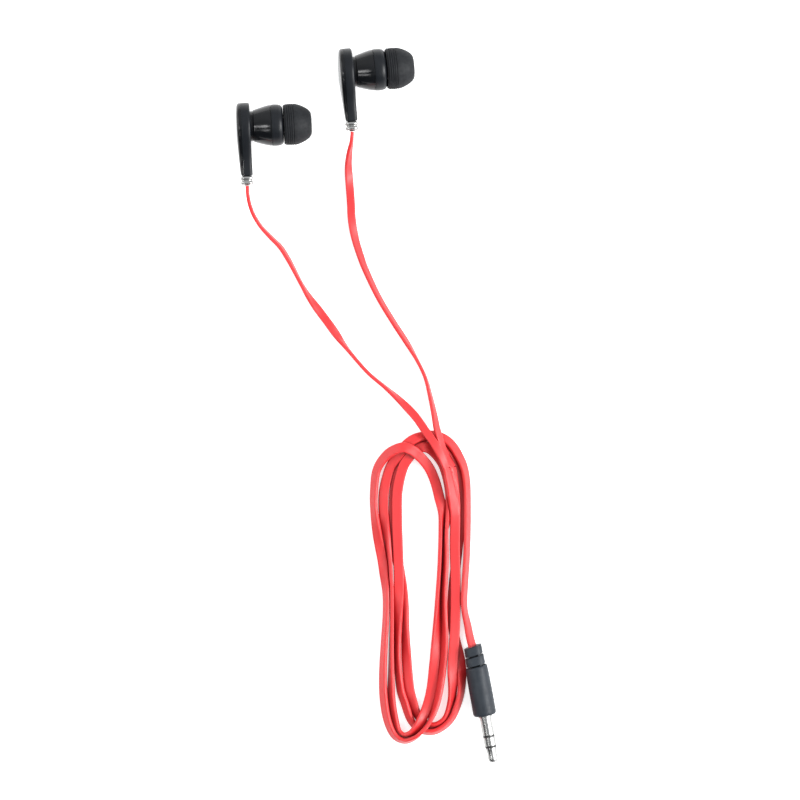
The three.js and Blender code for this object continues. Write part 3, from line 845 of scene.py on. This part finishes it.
def rounded_square(half_x, half_z, power, sides):
    """A superellipse: an oval at power 2, and squarer the higher it is."""
    angles = (np.arange(sides) + 0.5) * 2 * math.pi / sides
    c, s = np.cos(angles), np.sin(angles)
    x = np.sign(c) * np.abs(c) ** (2 / power) * half_x
    z = np.sign(s) * np.abs(s) ** (2 / power) * half_z
    return x, z


def outer_cover():
    """The glossy cover of the paddle's outer face: bowed along its length, with a round edge."""
    depth = [(0.0, 0.0), (0.0, 0.35), (0.07, 0.62), (0.25, 0.85), (0.55, 1.02), (0.95, 1.12), (1.45, 1.17)]
    start = -SHELL_DEPTH - 0.03
    levels = [(0.06, start, start), (0.01, start - 0.02, start - 0.02)]
    levels += [(inset, start - out, start - 0.72 * out, 0.24 * out) for inset, out in depth]
    return paddle_plate(levels[::-1])


def rear_shell():
    """The shell that carries the barrel: a flat tray with round edges."""
    levels = [
        (0.60, 0.0, 0.0), (0.38, -0.04, -0.07), (0.19, -0.15, -0.24), (0.06, -0.33, -0.52),
        (0.0, -0.65, -0.95), (0.0, -2.54, -2.54), (0.01, -2.58, -2.58), (0.06, -SHELL_DEPTH, -SHELL_DEPTH),
    ]
    return paddle_plate(levels)


def shell_tools():
    """What is cut out of a rear shell: its hollow, the cord's slot and the barrel's hole."""
    pocket = paddle_plate([(1.0, -1.0, -1.0), (1.0, -3.6, -3.6)])
    slot = box_of((-3.6, STEM_END - 1, -0.9), (-1.0, STEM_END + 2, 0.9))
    hole = lofted(
        [np.array([(x, 3.2 * math.cos(a), 3.2 * math.sin(a)) for a in np.arange(48) * math.pi / 24])
         for x in (1.0, -2.0)],
        closed=False,
    )
    return [pocket, slot, hole]


def collar():
    """A chromed tube with a rounded-square section, made of two round beads with a groove between."""
    top = STEM_END - 0.1
    profile = []
    for middle in (BEAD_LENGTH / 2, COLLAR_LENGTH - BEAD_LENGTH / 2):
        for angle in np.linspace(-BEAD_ARC, BEAD_ARC, 13):
            down = middle + BEAD_LENGTH / 2 * math.sin(angle) / math.sin(BEAD_ARC)
            profile.append((BEAD_EDGE + BEAD_RISE * math.cos(angle), down))
    rings = []
    for half, down in profile:
        x, z = rounded_square(half, half + 0.1, 3.2, COLLAR_SIDES)
        rings.append(np.column_stack([x + CORD_DEPTH, np.full(COLLAR_SIDES, top - down), z]))
    for down in (COLLAR_LENGTH, 0.0):
        x, z = rounded_square(0.75, 1.35, 8, COLLAR_SIDES)
        rings.append(np.column_stack([x + CORD_DEPTH, np.full(COLLAR_SIDES, top - down), z]))
    return lofted(rings, closed=True, caps=False)


def rear_cup():
    """A glossy cone that opens towards the front housing."""
    outer = [(4.35, 0.05), (4.35, 0.85), (4.4, 0.95), (4.52, 0.95), (4.6, 1.02)]
    outer += rounded([(4.62, 1.15), (4.95, 2.2), (5.35, 3.5), (5.7, 4.8), (5.92, 5.85)])
    outer += [(5.9, 5.97), (5.84, SEAM)]
    return turned(outer + [(5.1, SEAM), (5.1, 5.2), (4.5, 3.6), (4.1, 2.2), (3.7, 1.1), (3.4, 0.05)])


def front_housing():
    """A short drum with a round shoulder, and the nozzle on its front."""
    outer = [(5.86, SEAM + 0.1), (5.94, SEAM + 0.16)]
    outer += rounded([(5.97, SEAM + 0.3), (6.0, 7.2), (5.95, 8.15)])
    outer += rounded([(5.9, 8.4), (5.72, 8.88), (5.45, 9.22), (5.1, 9.44), (4.8, 9.52)], 0.12)
    outer += [(2.35, 9.55), (2.3, 9.6), (2.3, 14.3), (2.22, 14.48), (2.05, 14.6)]
    return turned(outer + [(1.6, 14.6), (1.6, 8.65), (5.1, 8.65)])


RIB_DEPTH = 0.22
RIB_SPAN = (9.9, 12.6)
RIB_START = 10.1
RIB_RATE = 10.5  # radians for each millimetre, which puts the grooves 0.6 mm apart


def rib_depth(x):
    """How deep the groove between two ribs is at x along the ear tip."""
    if not RIB_SPAN[0] < x < RIB_SPAN[1]:
        return 0.0
    return RIB_DEPTH * max(0, math.cos((x - RIB_START) * RIB_RATE)) ** 2


def ear_tip():
    """A silicone tip: a sleeve on the nozzle and a skirt folded back over it, with fine ribs at its rim."""
    sleeve = [(1.9, 17.75), (1.75, 15.0), (2.45, 14.8), (2.45, 9.9), (3.1, 9.9), (3.15, 14.6)]
    under = [(4.2, 15.2), (4.9, 13.8), (5.35, 12.0), (5.3, 9.75)]
    outer = rounded([(5.6, 9.78), (5.8, 10.0), (5.95, 10.5), (6.02, 11.9), (5.9, 13.2)], 0.09)
    outer = [(r - rib_depth(x), x) for r, x in outer]
    outer += rounded([(5.88, 13.35), (5.5, 14.6), (4.85, 15.95), (4.15, 16.95), (3.6, 17.45), (3.1, 17.72)])
    return turned([*sleeve, *under, (5.45, 9.72), *outer, (2.6, 17.8), (2.1, 17.8)])


def make_bud(side):
    """One earbud's visible pieces."""
    x, y, turn = BUDS[side]
    placed = Matrix.Translation((x, y, AXIS_HEIGHT)) @ Matrix.Rotation(math.radians(turn), 4, "Z") @ BUD_AXIS
    shapes = (
        ("outer_cover", outer_cover(), "gloss_shell", "root"),
        ("rear_shell", rear_shell(), "satin_shell", "root"),
        ("collar", collar(), "bright_metal", "root"),
        ("rear_cup", rear_cup(), "gloss_shell", "root"),
        ("front_housing", front_housing(), "satin_shell", "root"),
        ("ear_tip", ear_tip(), "ear_rubber", f"{side}_ear_tip"),
    )
    for name, (points, faces), slot, body in shapes:
        node = f"{side}_{name}"
        piece = add_piece(f"{node}_shape", points, faces, slot, body, [node], placed)
        if name == "rear_shell":
            cut(piece, shell_tools(), placed)


for bud in BUDS:
    make_bud(bud)


# ---- plug ----
RELIEF_SIDES = 120
BLOCK_POWER = 2.7
BLOCK_SCALE = 0.985
WEB_RADIUS = 2.68
WEB_ANGLES = (44, 66)


def strain_relief():
    """Blocks on a core, with a narrow web that joins them across the slots."""
    profile = [
        (2.50, 0.0, 0), (2.62, 0.05, 0), (2.66, 0.16, 0), (2.70, 2.50, 0), (2.64, 2.58, 0), (2.55, 2.6, 0),
        (1.42, 2.62, 1), (1.42, 3.03, 1), (2.68, 3.05, 0), (2.78, 3.08, 0), (2.82, 3.16, 0), (2.86, 5.5, 0),
        (2.80, 5.58, 0), (2.70, 5.6, 0), (1.42, 5.62, 1), (1.42, 5.9, 1),
    ]
    rings = []
    for radius, along, slotted in profile:
        y, z = rounded_square(1.0, 1.0, 2.0 if slotted else BLOCK_POWER, RELIEF_SIDES)
        if slotted:
            scale = np.full(RELIEF_SIDES, radius)
            angle = np.degrees(np.arctan2(z, y))
            scale[(angle > WEB_ANGLES[0]) & (angle < WEB_ANGLES[1])] = WEB_RADIUS
        else:
            scale = np.full(RELIEF_SIDES, radius * BLOCK_SCALE)
        rings.append(np.column_stack([np.full(RELIEF_SIDES, along), y * scale, z * scale]))
    for along in (5.9, 0.0):
        y, z = rounded_square(1.0, 1.0, 2.0, RELIEF_SIDES)
        rings.append(np.column_stack([np.full(RELIEF_SIDES, along), y, z]))
    return lofted(rings, closed=True, caps=False)


def plug_shapes():
    """The plug's shapes and slots by name. Its shaft is a set of nested tubes round the tip's long pin."""
    body = [(2.8, 6.0), (3.0, 6.06), (3.13, 6.2), (3.19, 6.45)]
    body += rounded([(3.25, 6.8), (3.35, 10.0), (3.39, 15.0), (3.39, 19.6)], 0.6)
    body += rounded([(3.38, 19.85), (3.3, 20.2), (3.12, 20.48), (2.85, 20.62)], 0.1)
    body += [(2.7, 20.65), (1.9, 20.65), (1.9, 12), (1.3, 12), (1.3, 6.0)]
    sleeve = [
        (1.3, 18), (1.75, 18), (1.75, 20.75), (1.98, 20.75), (2.05, 20.82), (2.05, 21.15), (1.75, 21.15),
        (1.75, 26.44), (1.69, 26.5), (1.3, 26.5),
    ]
    rear = [(1.05, 17), (1.25, 17), (1.25, 26.55), (1.7, 26.55), (1.7, 27.05), (1.05, 27.05)]
    ring = [
        (0.8, 16), (1.0, 16), (1.0, 27.1), (1.69, 27.1), (1.75, 27.16), (1.75, 29.54), (1.69, 29.6),
        (0.8, 29.6),
    ]
    front = [(0.5, 15), (0.75, 15), (0.75, 29.65), (1.65, 29.65), (1.65, 30.15), (0.5, 30.15)]
    tip = [(0.001, 14), (0.45, 14), (0.45, 30.2), (1.56, 30.2), (1.61, 30.26)]
    tip += rounded([(1.6, 30.45), (1.5, 31.2), (1.4, 32.0), (1.42, 32.7), (1.47, 33.3)], 0.12)
    tip += rounded([(1.45, 33.65), (1.32, 34.1), (1.05, 34.42), (0.6, 34.62), (0.05, 34.66)], 0.1)
    return {
        "strain_relief": (strain_relief(), "plug_moulding"),
        "body": (turned(body), "plug_moulding"),
        "sleeve": (turned(sleeve), "bright_metal"),
        "rear_insulator": (turned(rear), "insulation"),
        "ring": (turned(ring), "bright_metal"),
        "front_insulator": (turned(front), "insulation"),
        "tip": (turned([*tip, (0.001, 34.66)]), "bright_metal"),
    }


FLEX = 0.16
FLEX_LENGTH = 14.0
FLEX_MIDDLE = 1.4


def flexed(points):
    """The moulding's cord end is bent a little, so its blocks slant."""
    slant = FLEX * np.clip(1 - points[:, 0] / FLEX_LENGTH, 0, 1)
    return np.column_stack([points[:, 0] + slant * (FLEX_MIDDLE - points[:, 1]), points[:, 1:]])


def make_plug():
    placed = Matrix.Translation(PLUG_START) @ Matrix.Rotation(PLUG_ANGLE, 4, "Z")
    pieces = []
    for name, ((points, faces), slot) in plug_shapes().items():
        node = f"plug_{name}"
        if slot == "plug_moulding":
            points = flexed(points)
        pieces.append(add_piece(f"{node}_shape", points, faces, slot, "root", [node], placed))
    return pieces


plug_pieces = make_plug()


# The CAD nodes that no piece replaces, which are the inner parts, are shown with these materials.
for part in frame["record"]["subparts"]:
    node = frame["nodes"][part["node"]]
    node.data.materials.clear()
    node.data.materials.append(MATERIALS[part["material_slot"]])


# ---- stage, in metres ----
FLOOR_HALF = 3.0
BOTH_BUDS = (-0.02, 0, 0)
MIDDLE = (0.02, -0.08, 0)
DARK_SIDE = (-0.52, -0.79, 0.32)


def add_floor():
    """A white table that glows a little, so that it stays white between the lights."""
    n = Nodes("floor")
    n.link(n.ramp(n.noise(6.0, 2.0), (0.70, 0.70, 0.70), (0.74, 0.74, 0.74)), n.shader.inputs["Base Color"])
    n.set(Roughness=0.9, Specular_IOR_Level=0.1, Emission_Color=(1, 1, 1, 1), Emission_Strength=0.58)
    corners = [(x * FLOOR_HALF, y * FLOOR_HALF, 0) for x, y in ((-1, -1), (1, -1), (1, 1), (-1, 1))]
    mesh = bpy.data.meshes.new("floor")
    mesh.from_pydata(corners, [], [(0, 1, 2, 3)])
    mesh.materials.append(n.material)
    floor = bpy.data.objects.new("floor", mesh)
    bpy.context.scene.collection.objects.link(floor)


def add_light(name, place, target, size, power, length=None):
    """A square light, or a strip if it has a length."""
    data = bpy.data.lights.new(name, "AREA")
    data.energy = power
    data.size = size
    if length:
        data.shape = "RECTANGLE"
        data.size_y = length
    light = bpy.data.objects.new(name, data)
    light.location = place
    light.rotation_euler = (Vector(target) - Vector(place)).to_track_quat("-Z", "Y").to_euler()
    bpy.context.scene.collection.objects.link(light)


def add_world():
    """A white room that darkens towards its low front left."""
    world = bpy.data.worlds.new("world")
    world.use_nodes = True
    tree = world.node_tree
    direction = tree.nodes.new("ShaderNodeTexCoord")
    along = tree.nodes.new("ShaderNodeVectorMath")
    along.operation = "DOT_PRODUCT"
    along.inputs[1].default_value = DARK_SIDE
    ramp = tree.nodes.new("ShaderNodeValToRGB")
    ramp.color_ramp.elements[0].position = 0.0
    ramp.color_ramp.elements[0].color = (0.96, 0.98, 1.0, 1)
    ramp.color_ramp.elements[1].position = 0.75
    ramp.color_ramp.elements[1].color = (0.12, 0.125, 0.13, 1)
    middle = ramp.color_ramp.elements.new(0.5)
    middle.color = (0.55, 0.565, 0.59, 1)
    tree.links.new(direction.outputs["Generated"], along.inputs[0])
    tree.links.new(along.outputs["Value"], ramp.inputs["Fac"])
    tree.links.new(ramp.outputs["Color"], tree.nodes["Background"].inputs["Color"])
    tree.nodes["Background"].inputs["Strength"].default_value = 1.0
    bpy.context.scene.world = world


add_floor()
add_world()
add_light("left_softbox", (-1.15, 0.15, 0.5), MIDDLE, 1.1, 8.0)
add_light("right_softbox", (1.0, -0.25, 0.75), MIDDLE, 1.1, 19.8)
# Three small lights make the pale reflections on the rear cups and on the housings' shoulders.
add_light("upper_strip", (-0.31, -0.15, 0.62), BOTH_BUDS, 0.14, 0.85, 0.14)
add_light("lower_strip", (-0.31, -0.46, 0.62), BOTH_BUDS, 0.11, 0.42, 0.15)
add_light("shoulder_strip", (0.62, -0.08, 0.47), BOTH_BUDS, 0.40, 3.4, 0.15)
bpy.context.scene.view_settings.view_transform = "Standard"
